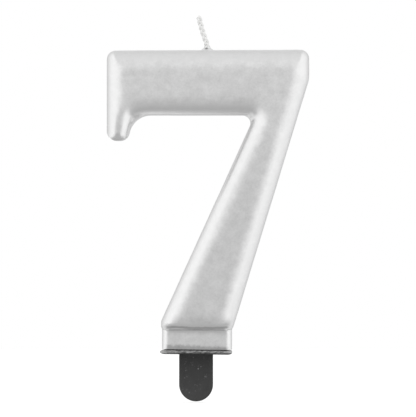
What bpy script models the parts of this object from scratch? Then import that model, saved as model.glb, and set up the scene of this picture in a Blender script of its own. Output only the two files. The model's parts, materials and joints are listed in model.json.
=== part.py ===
"""Number birthday candle, a figure 7, built from the pieces it is made of.

A paraffin casting carries the digit and a small foot. A silver lacquer coat covers it. A plaited
cotton wick stands in the top of the bar. A black plastic pick closes the foot: its plate rests on
the cake, its tongue goes into the cake, and its two pins hold the casting.

Frame: metres, +Z up, the front of the digit faces -Y. The origin is under the middle of the bar,
halfway through the thickness, level with the tip of the tongue.
"""

import math

import bmesh
import bpy
from mathutils import Vector
from mathutils.geometry import delaunay_2d_cdt, intersect_point_line

MM = 0.001

# ---- Digit, seen from the front ----
HEIGHT = 90.0 * MM  # tip of the tongue to the top of the bar
WIDTH = 51.7 * MM
BAR_HEIGHT = 16.8 * MM
TOP_RADIUS = 2.3 * MM
SHOULDER_DROP = 7.6 * MM  # straight right end of the bar, before the stem slants in
SHOULDER_RADIUS = 6.0 * MM
HOOK_DROP = 6.5 * MM  # how far the hook hangs below the bar
HOOK_WIDTH = 5.4 * MM
HOOK_FLARE = 1.2 * MM  # how much the hook's inner side leans outward over its drop
HOOK_OUTER_RADIUS = 2.5 * MM
HOOK_INNER_RADIUS = 2.5 * MM
HOOK_FILLET = 5.6 * MM
NECK_RADIUS = 2.0 * MM  # inner corner between the bar and the stem
STEM_RIGHT_SLOPE = 0.3057  # sideways run for each unit of height
STEM_LEFT_SLOPE = 0.4556
STEM_BOTTOM_Z = 18.5 * MM
STEM_LEFT_X = -12.0 * MM  # the last stretch of the stem's left side stands straight
STEM_LEFT_STRAIGHT = 2.1 * MM
STEM_CORNER_RADIUS = 1.0 * MM

# ---- Digit, through its thickness ----
THICKNESS = 12.9 * MM
SIDE_ROUND = 5.15 * MM  # width of the elliptical round from a side wall to the flat face
SIDE_DEPTH = 3.3 * MM  # depth of that round, through the thickness
END_ROUND = 4.0 * MM  # shallower round along the stem's bottom edge
END_DEPTH = 1.4 * MM

# ---- Foot, the square block under the stem ----
FOOT_WIDTH = 17.9 * MM
FOOT_DEPTH = 8.0 * MM
FOOT_X = -2.8 * MM
FOOT_BOTTOM_Z = 13.5 * MM
FOOT_TOP_Z = 20.2 * MM  # buried in the stem
FOOT_RADIUS = 1.5 * MM

# ---- Coat, and the gaps between touching pieces ----
COAT = 0.4 * MM
GAP = 0.3 * MM
COLLAR_HEIGHT = 0.8 * MM  # lacquer drawn up round the wick
COLLAR_FOOT_RADIUS = 1.3 * MM
COLLAR_TOP_RADIUS = 1.05 * MM
WICK_HOLE_RADIUS = 0.85 * MM

# ---- Pick ----
PICK_X = -3.05 * MM
PLATE_WIDTH = 18.5 * MM
PLATE_DEPTH = 9.2 * MM
PLATE_THICKNESS = 1.2 * MM
PLATE_RADIUS = 0.6 * MM
PLATE_Z = 12.0 * MM  # underside of the plate, which rests on the icing
TONGUE_WIDTH = 9.0 * MM
TONGUE_THICKNESS = 1.8 * MM
PIN_SPACING = 10.0 * MM
PIN_LENGTH = 9.0 * MM
PIN_FOOT_RADIUS = 1.4 * MM
PIN_TIP_RADIUS = 1.1 * MM

# ---- Wick ----
WICK_X = -0.2 * MM
WICK_BURIED = 13.9 * MM  # length inside the bar
WICK_TOP_Z = 98.6 * MM
WICK_LEAN = 0.345  # sideways run to the left for each unit of height
WICK_RETURN = 0.095  # how much less the upper length leans
WICK_BEND_LENGTH = 1.2 * MM  # height over which the wick goes from one lean to the next
YARN_RADIUS = 0.175 * MM
PLAIT_WIDTH = 0.36 * MM  # sideways swing of a yarn's centre
PLAIT_DEPTH = 0.25 * MM
PLAIT_PITCH = 4.2 * MM
PLAIT_STEP = 0.35 * MM  # height between two points along a yarn
YARN_NAMES = ("a", "b", "c")

# ---- Joints ----
BEND_Z = 91.2 * MM  # the free wick bends here, just above the collar
MID_BEND_Z = 95.0 * MM
BEND_GAP = 0.5 * MM  # between two lengths of wick, so that they can tilt

# ---- Fineness of the faceted solids ----
ARC_STEP = math.radians(20)
ROUND_STEPS = 4  # facets across a quarter round
COLUMN_STEP = 1.5 * MM  # spacing of the points near the ends of a straight side
COLUMN_REACH = 4.6 * MM
SAME_POINT = 0.12 * MM
ROUND_SIDES = 20

COLOURS = {
    "silver_lacquer": ((0.66, 0.66, 0.66), 0.38, 0.9),
    "paraffin": ((0.86, 0.85, 0.82), 0.55, 0.0),
    "black_plastic": ((0.045, 0.045, 0.045), 0.5, 0.0),
    "cotton": ((0.8, 0.79, 0.76), 0.9, 0.0),
}


def clear_scene():
    for obj in list(bpy.data.objects):
        bpy.data.objects.remove(obj)


def new_collection(name):
    collection = bpy.data.collections.new(name)
    bpy.context.scene.collection.children.link(collection)
    return collection


def new_material(name):
    colour, roughness, metallic = COLOURS[name]
    material = bpy.data.materials.new(name)
    material.use_nodes = True
    shader = material.node_tree.nodes["Principled BSDF"]
    shader.inputs["Base Color"].default_value = (*colour, 1.0)
    shader.inputs["Roughness"].default_value = roughness
    shader.inputs["Metallic"].default_value = metallic
    return material


def new_object(name, data, collection):
    obj = bpy.data.objects.new(name, data)
    collection.objects.link(obj)
    return obj


def mesh_object(name, bm, collection):
    bmesh.ops.recalc_face_normals(bm, faces=bm.faces[:])
    mesh = bpy.data.meshes.new(name)
    bm.to_mesh(mesh)
    bm.free()
    return new_object(name, mesh, collection)


def as_cutter(obj):
    obj.hide_render = True
    obj.display_type = "WIRE"
    return obj


def shade_round(obj, angle=math.radians(30)):
    obj.data.shade_smooth()
    obj.data.set_sharp_from_angle(angle=angle)


def boolean(obj, other, operation):
    modifier = obj.modifiers.new(f"{operation.lower()} {other.name}", "BOOLEAN")
    modifier.operation = operation
    modifier.solver = "EXACT"
    modifier.object = other


# ---------------------------------------------------------------- outline of the digit


def digit_corners():
    """The 7's corners, anticlockwise from the bottom left: x, z, radius, and whether the side
    that starts there is the stem's bottom end."""
    left = -WIDTH / 2
    right = WIDTH / 2
    bar_z = HEIGHT - BAR_HEIGHT
    hook_z = bar_z - HOOK_DROP
    hook_x = left + HOOK_WIDTH
    shoulder_z = HEIGHT - SHOULDER_DROP
    stem_right = right - (shoulder_z - STEM_BOTTOM_Z) * STEM_RIGHT_SLOPE
    kink_z = STEM_BOTTOM_Z + STEM_LEFT_STRAIGHT
    neck_x = STEM_LEFT_X + (bar_z - kink_z) * STEM_LEFT_SLOPE
    return [
        (STEM_LEFT_X, STEM_BOTTOM_Z, STEM_CORNER_RADIUS, True),
        (stem_right, STEM_BOTTOM_Z, STEM_CORNER_RADIUS, False),
        (right, shoulder_z, SHOULDER_RADIUS, False),
        (right, HEIGHT, TOP_RADIUS, False),
        (left, HEIGHT, TOP_RADIUS, False),
        (left, hook_z, HOOK_OUTER_RADIUS, False),
        (hook_x, hook_z, HOOK_INNER_RADIUS, False),
        (hook_x + HOOK_FLARE, bar_z, HOOK_FILLET, False),
        (neck_x, bar_z, NECK_RADIUS, False),
        (STEM_LEFT_X, kink_z, STEM_CORNER_RADIUS, False),
    ]


def corner_arc(before, corner, after, radius):
    """Points and inward normals round one corner, from one tangent point to the other."""
    arrive = (corner - before).normalized()
    leave = (after - corner).normalized()
    turn = arrive.angle_signed(leave) * -1
    reach = radius * math.tan(abs(turn) / 2)
    side = 1 if turn > 0 else -1
    centre = corner - arrive * reach + Vector((-arrive.y, arrive.x)) * radius * side
    start = corner - arrive * reach - centre
    steps = max(1, round(abs(turn) / ARC_STEP))
    samples = []
    for step in range(steps + 1):
        angle = turn * step / steps
        spoke = Vector(
            (
                start.x * math.cos(angle) - start.y * math.sin(angle),
                start.x * math.sin(angle) + start.y * math.cos(angle),
            )
        )
        samples.append((centre + spoke, spoke.normalized() * -side))
    return samples


def side_stops(length):
    """Distances along a straight side where it gets points, close together near its ends."""
    reach = min(COLUMN_REACH, length / 2)
    count = int(reach / COLUMN_STEP)
    near = [COLUMN_STEP * step for step in range(1, count + 1)]
    far = [length - stop for stop in reversed(near)]
    return near + [stop for stop in far if stop > (near[-1] if near else 0) + SAME_POINT]


def outline_samples():
    """The whole outline: each point with its inward normal, and whether it is on the stem's end."""
    corners = digit_corners()
    points = [Vector(corner[:2]) for corner in corners]
    arcs = []
    for index, (_, _, radius, _) in enumerate(corners):
        after = points[(index + 1) % len(points)]
        arcs.append(corner_arc(points[index - 1], points[index], after, radius))
    samples = []
    for index, arc in enumerate(arcs):
        on_end = corners[index][3] or corners[index - 1][3]
        samples += [(point, normal, on_end) for point, normal in arc]
        start, normal = arc[-1]
        finish = arcs[(index + 1) % len(arcs)][0][0]
        along = finish - start
        for stop in side_stops(along.length):
            place = start + along.normalized() * stop
            samples.append((place, normal, corners[index][3]))
    return samples


# ---------------------------------------------------------------- rounded digit


def distance_to(point, edges):
    """Shortest distance from a point to a list of straight edges."""
    shortest = WIDTH
    for start, finish in edges:
        foot, share = intersect_point_line(point, start, finish)
        nearest = start if share < 0 else finish if share > 1 else foot
        shortest = min(shortest, (point - Vector(nearest[:2])).length)
    return shortest


def quarter_round(distance, width, depth, inset):
    """Half of the thickness at a distance from an edge with an elliptical round."""
    run = max(0.0, 1 - distance / (width - inset))
    return THICKNESS / 2 - depth + (depth - inset) * math.sqrt(1 - run**2)


def index_of(point, points):
    """Index of a point in the list, where it is added unless one is already there."""
    for index, other in enumerate(points):
        if (point - other).length < SAME_POINT:
            return index
    points.append(point)
    return len(points) - 1


def digit_half(inset):
    """The front half of the rounded digit, open at the middle plane, all of it pulled in by inset.

    The round is wider than half of the hook, where a Bevel would fold over itself. So the height
    of each point comes from its distance to the outline, and the rounds meet in a soft ridge.
    """
    samples = outline_samples()
    rim = [point + normal * inset for point, normal, _ in samples]
    loop = list(zip(rim, rim[1:] + rim[:1]))
    end_flags = [flag for _, _, flag in samples]
    on_end = [flag and end_flags[(i + 1) % len(rim)] for i, flag in enumerate(end_flags)]
    side_edges = [edge for edge, flag in zip(loop, on_end) if not flag]
    end_edges = [edge for edge, flag in zip(loop, on_end) if flag]

    points = list(rim)
    columns = []
    for start, (_, normal, flag) in zip(rim, samples):
        width = (END_ROUND if flag else SIDE_ROUND) - inset
        column = []
        for step in range(1, ROUND_STEPS + 1):
            depth = width * (1 - math.cos(math.pi / 2 * step / ROUND_STEPS))
            point = start + normal * depth
            if distance_to(point, loop) < depth - SAME_POINT / 2:
                break
            column.append(index_of(point, points))
        columns.append(column)

    creases = [(i, (i + 1) % len(rim)) for i in range(len(rim))]
    for column, following in zip(columns, columns[1:] + columns[:1]):
        creases += [pair for pair in zip(column, following) if pair[0] != pair[1]]
    inside_only = 1
    flat = delaunay_2d_cdt(points, creases, [], inside_only, SAME_POINT / 100)

    bm = bmesh.new()
    verts = []
    for point in flat[0]:
        side = quarter_round(distance_to(point, side_edges), SIDE_ROUND, SIDE_DEPTH, inset)
        end = quarter_round(distance_to(point, end_edges), END_ROUND, END_DEPTH, inset)
        verts.append(bm.verts.new((point.x, -min(side, end), point.y)))
    for face in flat[2]:
        bm.faces.new([verts[index] for index in face])
    rim_edges = [edge for edge in bm.edges if edge.is_boundary]
    walls = bmesh.ops.extrude_edge_only(bm, edges=rim_edges)["geom"]
    for item in walls:
        if isinstance(item, bmesh.types.BMVert):
            item.co.y = 0.0
    return bm


def digit(name, inset, collection):
    """The rounded digit, both halves, pulled in all over by inset."""
    bm = digit_half(inset)
    bmesh.ops.recalc_face_normals(bm, faces=bm.faces[:])
    front = max(bm.faces, key=lambda face: face.calc_area())
    if front.normal.y > 0:
        bmesh.ops.reverse_faces(bm, faces=bm.faces[:])
    mesh = bpy.data.meshes.new(name)
    bm.to_mesh(mesh)
    bm.free()
    obj = new_object(name, mesh, collection)
    mirror = obj.modifiers.new("both halves", "MIRROR")
    mirror.use_axis = (False, True, False)
    mirror.merge_threshold = 0.00001
    return obj


# ---------------------------------------------------------------- simple solids


def upright_block(name, centre_x, size, bottom_z, top_z, radius, collection):
    """A block with its upright edges rounded. size is its width and depth."""
    bm = bmesh.new()
    bmesh.ops.create_cube(bm, size=1.0)
    bmesh.ops.scale(bm, verts=bm.verts, vec=(size[0], size[1], top_z - bottom_z))
    bmesh.ops.translate(bm, verts=bm.verts, vec=(centre_x, 0, (top_z + bottom_z) / 2))
    upright = [
        edge
        for edge in bm.edges
        if abs(edge.verts[0].co.z - edge.verts[1].co.z) > (top_z - bottom_z) / 2
    ]
    bmesh.ops.bevel(
        bm, geom=upright, offset=radius, segments=4, profile=0.5, affect="EDGES"
    )
    return mesh_object(name, bm, collection)


def upright_cone(name, centre_x, bottom_z, bottom_radius, top_z, top_radius, collection):
    bm = bmesh.new()
    bmesh.ops.create_cone(
        bm,
        cap_ends=True,
        segments=ROUND_SIDES,
        radius1=bottom_radius,
        radius2=top_radius,
        depth=top_z - bottom_z,
    )
    bmesh.ops.translate(bm, verts=bm.verts, vec=(centre_x, 0, (top_z + bottom_z) / 2))
    return mesh_object(name, bm, collection)


def foot_block(name, inset, bottom_z, collection):
    size = (FOOT_WIDTH - 2 * inset, FOOT_DEPTH - 2 * inset)
    top_z = FOOT_TOP_Z - inset
    radius = FOOT_RADIUS - inset
    return upright_block(name, FOOT_X, size, bottom_z, top_z, radius, collection)


# ---------------------------------------------------------------- the candle


def build_wax_core(parts, cutters):
    inset = COAT + GAP
    core = digit("wax_core", inset, parts)
    foot = as_cutter(foot_block("wax_foot", inset, FOOT_BOTTOM_Z, cutters))
    boolean(core, foot, "UNION")

    channel_bottom = HEIGHT - WICK_BURIED - GAP
    channel = upright_cone(
        "wick_channel",
        WICK_X,
        channel_bottom,
        WICK_HOLE_RADIUS,
        HEIGHT + COLLAR_HEIGHT,
        WICK_HOLE_RADIUS,
        cutters,
    )
    boolean(core, as_cutter(channel), "DIFFERENCE")

    plate_top = PLATE_Z + PLATE_THICKNESS
    for label, side in (("left", -1), ("right", 1)):
        socket = upright_cone(
            f"pin_socket_{label}",
            PICK_X + side * PIN_SPACING / 2,
            plate_top,
            PIN_FOOT_RADIUS + GAP,
            plate_top + PIN_LENGTH + GAP,
            PIN_TIP_RADIUS + GAP,
            cutters,
        )
        boolean(core, as_cutter(socket), "DIFFERENCE")
    shade_round(core)
    return core


def build_silver_coat(parts, cutters):
    coat = digit("silver_coat", 0.0, parts)
    foot = as_cutter(foot_block("coat_foot", 0.0, FOOT_BOTTOM_Z, cutters))
    boolean(coat, foot, "UNION")
    collar = upright_cone(
        "coat_collar",
        WICK_X,
        HEIGHT - COAT / 2,
        COLLAR_FOOT_RADIUS,
        HEIGHT + COLLAR_HEIGHT,
        COLLAR_TOP_RADIUS,
        cutters,
    )
    boolean(coat, as_cutter(collar), "UNION")

    hollow = as_cutter(digit("coat_hollow", COAT, cutters))
    hollow_foot = foot_block("coat_hollow_foot", COAT, FOOT_BOTTOM_Z - COAT, cutters)
    boolean(hollow, as_cutter(hollow_foot), "UNION")
    boolean(coat, hollow, "DIFFERENCE")

    hole = upright_cone(
        "wick_hole",
        WICK_X,
        HEIGHT - 2 * COAT,
        WICK_HOLE_RADIUS,
        HEIGHT + 2 * COLLAR_HEIGHT,
        WICK_HOLE_RADIUS,
        cutters,
    )
    boolean(coat, as_cutter(hole), "DIFFERENCE")
    shade_round(coat)
    return coat


# ---------------------------------------------------------------- the pick


def tongue_outline(curve):
    """A straight-sided tongue with a half-round end, from inside the plate down to z = 0."""
    half = TONGUE_WIDTH / 2
    top = PLATE_Z + PLATE_THICKNESS / 2
    steps = 14
    points = [(half, top), (-half, top)]
    for step in range(steps + 1):
        angle = math.pi + math.pi * step / steps
        points.append((half * math.cos(angle), half + half * math.sin(angle)))
    spline = curve.splines.new("POLY")
    spline.points.add(len(points) - 1)
    for target, (x, z) in zip(spline.points, points):
        target.co = (x, z, 0.0, 1.0)
    spline.use_cyclic_u = True


def build_tongue(cutters):
    curve = bpy.data.curves.new("tongue_shape", "CURVE")
    curve.dimensions = "2D"
    curve.fill_mode = "BOTH"
    curve.extrude = TONGUE_THICKNESS / 2
    tongue_outline(curve)
    flat = new_object("tongue_shape", curve, cutters)
    flat.location = (PICK_X, 0, 0)
    flat.rotation_euler = (math.pi / 2, 0, 0)
    bpy.context.view_layer.update()

    graph = bpy.context.evaluated_depsgraph_get()
    mesh = bpy.data.meshes.new_from_object(flat.evaluated_get(graph))
    bm = bmesh.new()
    bm.from_mesh(mesh)
    bmesh.ops.remove_doubles(bm, verts=bm.verts, dist=0.000001)
    bm.transform(flat.matrix_world)
    tongue = mesh_object("tongue", bm, cutters)
    bpy.data.objects.remove(flat)
    return as_cutter(tongue)


def build_pick(parts, cutters):
    size = (PLATE_WIDTH, PLATE_DEPTH)
    top_z = PLATE_Z + PLATE_THICKNESS
    pick = upright_block("pick", PICK_X, size, PLATE_Z, top_z, PLATE_RADIUS, parts)
    boolean(pick, build_tongue(cutters), "UNION")
    for label, side in (("left", -1), ("right", 1)):
        pin = upright_cone(
            f"pin_{label}",
            PICK_X + side * PIN_SPACING / 2,
            top_z - PLATE_THICKNESS / 2,
            PIN_FOOT_RADIUS,
            top_z + PIN_LENGTH,
            PIN_TIP_RADIUS,
            cutters,
        )
        boolean(pick, as_cutter(pin), "UNION")
    shade_round(pick)
    return pick


# ---------------------------------------------------------------- the wick


def height_past(z, bend_z):
    """Height above a bend, rising softly from zero over the bend's length."""
    above = z - (bend_z - WICK_BEND_LENGTH / 2)
    if above < 0:
        return 0.0
    if above < WICK_BEND_LENGTH:
        return above * above / (2 * WICK_BEND_LENGTH)
    return z - bend_z


def wick_centre(z):
    """Middle of the wick at a height. It leaves the bar upright and leans to the left."""
    lean = WICK_LEAN * height_past(z, BEND_Z) - WICK_RETURN * height_past(z, MID_BEND_Z)
    return Vector((WICK_X - lean, 0, z))


def yarn_point(z, strand):
    """Centre of one of the three plaited yarns at a height."""
    phase = math.tau * (z / PLAIT_PITCH + strand / len(YARN_NAMES))
    ahead = (wick_centre(z + PLAIT_STEP) - wick_centre(z - PLAIT_STEP)).normalized()
    across = Vector((ahead.z, 0, -ahead.x))
    swing = across * PLAIT_WIDTH * math.sin(phase)
    return wick_centre(z) + swing + Vector((0, PLAIT_DEPTH * math.sin(2 * phase), 0))


def build_yarn(name, strand, bottom_z, top_z, origin, collection):
    """One length of one yarn, as a wire whose object origin is at the given point."""
    curve = bpy.data.curves.new(name, "CURVE")
    curve.dimensions = "3D"
    curve.bevel_depth = YARN_RADIUS
    curve.bevel_resolution = 2
    curve.use_fill_caps = True
    steps = max(2, round((top_z - bottom_z) / PLAIT_STEP))
    spline = curve.splines.new("POLY")
    spline.points.add(steps)
    for step, target in enumerate(spline.points):
        z = bottom_z + (top_z - bottom_z) * step / steps
        target.co = (*(yarn_point(z, strand) - origin), 1.0)
    spline.use_smooth = True
    return new_object(name, curve, collection)


# ---------------------------------------------------------------- assembly


def new_pivot(name, location, parent, collection):
    """An empty that stands on a joint's axis and carries the pieces that move with it."""
    pivot = new_object(name, None, collection)
    pivot.empty_display_size = 5 * MM
    pivot.location = location
    if parent:
        pivot.parent = parent
        pivot.location = location - parent.matrix_world.translation
    bpy.context.view_layer.update()
    return pivot


def build_candle():
    clear_scene()
    parts = new_collection("number_candle")
    cutters = new_collection("cutters")
    materials = {name: new_material(name) for name in COLOURS}

    base = new_pivot("candle_lift", Vector((0, 0, 0)), None, parts)
    bend = new_pivot("wick_bend", wick_centre(BEND_Z), base, parts)
    mid_bend = new_pivot("wick_tip_bend", wick_centre(MID_BEND_Z), bend, parts)

    pick = build_pick(parts, cutters)
    pick.data.materials.append(materials["black_plastic"])
    core = build_wax_core(parts, cutters)
    core.data.materials.append(materials["paraffin"])
    core.parent = base
    coat = build_silver_coat(parts, cutters)
    coat.data.materials.append(materials["silver_lacquer"])
    coat.parent = base

    half_gap = BEND_GAP / 2
    lengths = (
        ("buried", HEIGHT - WICK_BURIED, BEND_Z - half_gap, base),
        ("lower", BEND_Z + half_gap, MID_BEND_Z - half_gap, bend),
        ("upper", MID_BEND_Z + half_gap, WICK_TOP_Z, mid_bend),
    )
    for length_name, bottom_z, top_z, carrier in lengths:
        origin = carrier.matrix_world.translation
        for strand, letter in enumerate(YARN_NAMES):
            name = f"wick_yarn_{letter}_{length_name}"
            yarn = build_yarn(name, strand, bottom_z, top_z, origin, parts)
            yarn.data.materials.append(materials["cotton"])
            yarn.parent = carrier


build_candle()
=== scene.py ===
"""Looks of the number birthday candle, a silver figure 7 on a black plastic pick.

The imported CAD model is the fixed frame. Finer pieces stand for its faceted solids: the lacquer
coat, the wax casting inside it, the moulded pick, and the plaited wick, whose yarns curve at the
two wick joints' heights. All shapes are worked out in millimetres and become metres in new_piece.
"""

import json
import math

import bmesh
import bpy
import numpy as np
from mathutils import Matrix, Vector, noise
from mathutils.geometry import delaunay_2d_cdt


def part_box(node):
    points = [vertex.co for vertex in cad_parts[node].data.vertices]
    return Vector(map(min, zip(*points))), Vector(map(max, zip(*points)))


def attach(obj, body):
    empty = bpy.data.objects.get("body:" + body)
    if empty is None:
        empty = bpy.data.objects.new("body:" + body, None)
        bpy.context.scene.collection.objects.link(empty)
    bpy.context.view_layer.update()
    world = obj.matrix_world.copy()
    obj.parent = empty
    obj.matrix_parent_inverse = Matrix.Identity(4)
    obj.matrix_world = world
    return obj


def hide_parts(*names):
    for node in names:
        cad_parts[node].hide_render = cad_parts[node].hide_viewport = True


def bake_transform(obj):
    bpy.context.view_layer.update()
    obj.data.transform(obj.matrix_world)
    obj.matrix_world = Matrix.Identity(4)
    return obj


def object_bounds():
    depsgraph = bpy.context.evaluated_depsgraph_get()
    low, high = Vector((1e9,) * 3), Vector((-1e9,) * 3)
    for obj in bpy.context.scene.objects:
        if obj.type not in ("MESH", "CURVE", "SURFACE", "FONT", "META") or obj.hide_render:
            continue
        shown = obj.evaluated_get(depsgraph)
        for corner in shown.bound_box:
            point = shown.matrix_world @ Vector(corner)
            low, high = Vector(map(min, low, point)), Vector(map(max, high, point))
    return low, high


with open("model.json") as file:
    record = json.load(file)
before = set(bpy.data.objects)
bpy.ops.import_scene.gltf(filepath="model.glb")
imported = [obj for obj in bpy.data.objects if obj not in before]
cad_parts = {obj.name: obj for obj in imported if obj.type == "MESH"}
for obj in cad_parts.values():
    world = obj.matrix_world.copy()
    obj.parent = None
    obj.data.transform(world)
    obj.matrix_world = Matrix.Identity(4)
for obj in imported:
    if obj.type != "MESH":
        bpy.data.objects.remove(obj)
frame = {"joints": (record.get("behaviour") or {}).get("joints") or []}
cad_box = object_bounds()

MM = 0.001

# ---- Places taken from the frame, in millimetres ----


def box_mm(node):
    low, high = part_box(node)
    return low / MM, high / MM


COAT_LOW, COAT_HIGH = box_mm("silver_coat")
CORE_HIGH = box_mm("wax_core")[1]
PICK_LOW, PICK_HIGH = box_mm("pick")
JOINTS = {joint["name"]: joint for joint in frame["joints"]}
BEND = Vector(JOINTS["wick_bend"]["pos_m"]) / MM
MID_BEND = Vector(JOINTS["wick_tip_bend"]["pos_m"]) / MM
WICK_TOP = max(box_mm(f"wick_yarn_{letter}_upper")[1].z for letter in "abc")
WICK_BOTTOM = min(box_mm(f"wick_yarn_{letter}_buried")[0].z for letter in "abc")

LEFT = COAT_LOW.x
RIGHT = COAT_HIGH.x
TOP = CORE_HIGH.z + COAT_HIGH.y - CORE_HIGH.y  # the bar's top, below the collar
HALF_THICKNESS = COAT_HIGH.y

# ---- Outline of the digit ----
BAR_HEIGHT = 16.8
TOP_SAG_LEFT = 0.28  # how far the bar's top lies below the frame's at each end
TOP_SAG_RIGHT = 0.06
TOP_RADIUS = 2.3
SHOULDER_DROP = 7.6  # straight right end of the bar, before the stem slants in
SHOULDER_RADIUS = 6.0
HOOK_DROP = 6.5
HOOK_WIDTH = 5.4
HOOK_FLARE = 1.2
HOOK_OUTER_RADIUS = 2.5
HOOK_INNER_RADIUS = 2.5
HOOK_FILLET = 5.6
HOOK_BOTTOM = TOP - BAR_HEIGHT - HOOK_DROP
NECK_RADIUS = 2.0
STEM_RIGHT_SLOPE = 0.3057  # sideways run for each unit of height
STEM_LEFT_SLOPE = 0.4556
STEM_BOTTOM = 18.5
STEM_LEFT = -12.0
STEM_LEFT_STRAIGHT = 2.1
STEP_RISE = 0.8  # height over which the foot's side swells out into the stem
STEP_RADIUS = 0.9

# ---- Section of the digit ----
SIDE_ROUND = 5.15  # width of the elliptical round along the sides, seen from the front
SIDE_DEPTH = 3.3  # depth of that round, through the thickness
TIGHT_RADIUS = 1.0  # inner corners of the rounds, tighter than those of the outline
TIGHT_SHARE = 0.65
HOOK_ROUND = 2.9  # the side round is smaller at the hook
HOOK_DEPTH = 2.7
HOOK_ROUND_TOP = 2.7  # it starts to shrink this far above the bar's lower edge
HOOK_ROUND_FULL = 2.0  # and is smallest this far above the hook's lower edge
HOOK_ROUND_REACH = 9.5  # it is full size again this far in from the digit's left
HOOK_ROUND_FADE = 4.0  # and smallest this much further left
HOOK_END_ROUND = 2.8  # the hook's lower end is nearly flat, with a shallow round
HOOK_END_DEPTH = 0.7
HOOK_REACH = 2.5  # the side round runs on as if the hook were this much longer
END_ROUND = 4.6
END_DEPTH = 1.25
END_POWER = 3.0
RIDGE_SOFTNESS = 1.5  # power of the soft minimum where the end round meets a side round
SMOOTHING_ROUNDS = 14
SMOOTHING_SHARE = 0.5
SMOOTHING_INSET = 2.2  # ridges are evened out only this far inside the outline
SMOOTHING_FADE = 1.0
SMOOTHING_ABOVE = 0.6  # and this far above the foot
SMOOTHING_ABOVE_FADE = 1.5
WAVE_HEIGHT = 0.035  # slow waves all over the surface
WAVE_LENGTH = 6.0
COAT_THICKNESS = 0.4

# ---- Foot ----
FOOT_LEFT = -11.75
FOOT_RIGHT = 6.15
FOOT_HALF_DEPTH = 4.0
FOOT_RADIUS = 1.6
FOOT_BOTTOM_LEFT = COAT_LOW.z - 0.04
FOOT_BOTTOM_RIGHT = COAT_LOW.z - 0.25  # the lacquer's lower edge hangs lower at its right end
FOOT_FILLET = 1.45  # radius of the hollow that runs from the foot's face up to the stem
FILLET_DROP = 1.15  # the hollow starts this far below the stem
FOOT_TUCK = 0.1  # how far the foot's lower edge turns in, over FOOT_TUCK_HEIGHT
FOOT_TUCK_HEIGHT = 1.0
FOOT_RIPPLE = 0.02  # depth of a faint trough across the foot
FOOT_RIPPLE_Z = 16.9

# ---- Fineness of the meshes ----
ARC_STEP = math.radians(5)
RIM_STEP = 0.5
GRID_STEP = 0.42
CLOSEST = 0.01  # points of a ring that crowd closer than this are dropped
RING_ANGLES = [math.radians(angle) for angle in (8, 16, 24, 32, 40, 48)]
WALL_STRIPS = 4
TURNED_SIDES = 48


# ---------------------------------------------------------------- outlines and sheets


def corner_arc(before, corner, after, radius):
    """Points and inward normals round one corner, from one tangent point to the other."""
    arrive = (corner - before).normalized()
    leave = (after - corner).normalized()
    turn = arrive.angle_signed(leave) * -1
    reach = radius * math.tan(abs(turn) / 2)
    side = 1 if turn > 0 else -1
    centre = corner - arrive * reach + Vector((-arrive.y, arrive.x)) * radius * side
    start = corner - arrive * reach - centre
    steps = max(1, round(abs(turn) / ARC_STEP))
    samples = []
    for step in range(steps + 1):
        angle = turn * step / steps
        spoke = Vector(
            (
                start.x * math.cos(angle) - start.y * math.sin(angle),
                start.x * math.sin(angle) + start.y * math.cos(angle),
            )
        )
        samples.append((centre + spoke, spoke.normalized() * -side))
    return samples


def outline(corners):
    """Points and inward normals round a loop of rounded corners, each given as x, z and radius."""
    places = [Vector(corner[:2]) for corner in corners]
    arcs = []
    for index, corner in enumerate(corners):
        after = places[(index + 1) % len(places)]
        arcs.append(corner_arc(places[index - 1], places[index], after, corner[2]))
    samples = []
    for index, arc in enumerate(arcs):
        samples += arc
        start, normal = arc[-1]
        along = arcs[(index + 1) % len(arcs)][0][0] - start
        count = max(1, round(along.length / RIM_STEP))
        samples += [(start + along * stop / count, normal) for stop in range(1, count)]
    points = np.array([tuple(point) for point, _ in samples])
    normals = np.array([tuple(normal) for _, normal in samples])
    return points, normals


def distance_to_chain(points, chain):
    """Shortest distance from each point to a chain of straight edges."""
    shortest = np.full(len(points), np.inf)
    for start, end in zip(chain, chain[1:]):
        along = end - start
        share = np.clip((points - start) @ along / max(along @ along, 1e-12), 0, 1)
        gap = np.hypot(*(points - start - share[:, None] * along).T)
        np.minimum(shortest, gap, out=shortest)
    return shortest


def distance_to_loop(points, loop):
    """Shortest distance from each point to a chain that is closed at its end."""
    return distance_to_chain(points, np.concatenate([loop, loop[:1]]))


def inside_loop(points, loop):
    """Which points lie inside a closed loop, by counting the edges to their right."""
    inside = np.zeros(len(points), bool)
    for start, end in zip(loop, np.roll(loop, -1, axis=0)):
        if start[1] == end[1]:
            continue
        spans = (start[1] > points[:, 1]) != (end[1] > points[:, 1])
        share = (points[:, 1] - start[1]) / (end[1] - start[1])
        inside ^= spans & (points[:, 0] < start[0] + share * (end[0] - start[0]))
    return inside


def even_grid(loop, step, margin):
    """Points of a grid of equal triangles, at least margin inside the loop."""
    low = loop.min(axis=0)
    high = loop.max(axis=0)
    row_step = step * math.sqrt(3) / 2
    rows = []
    for row, z in enumerate(np.arange(low[1], high[1], row_step)):
        shift = step / 2 * (row % 2)
        xs = np.arange(low[0] + shift, high[0], step)
        rows.append(np.column_stack([xs, np.full(len(xs), z)]))
    grid = np.concatenate(rows)
    grid = grid[inside_loop(grid, loop)]
    return grid[distance_to_loop(grid, loop) > margin]


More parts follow.
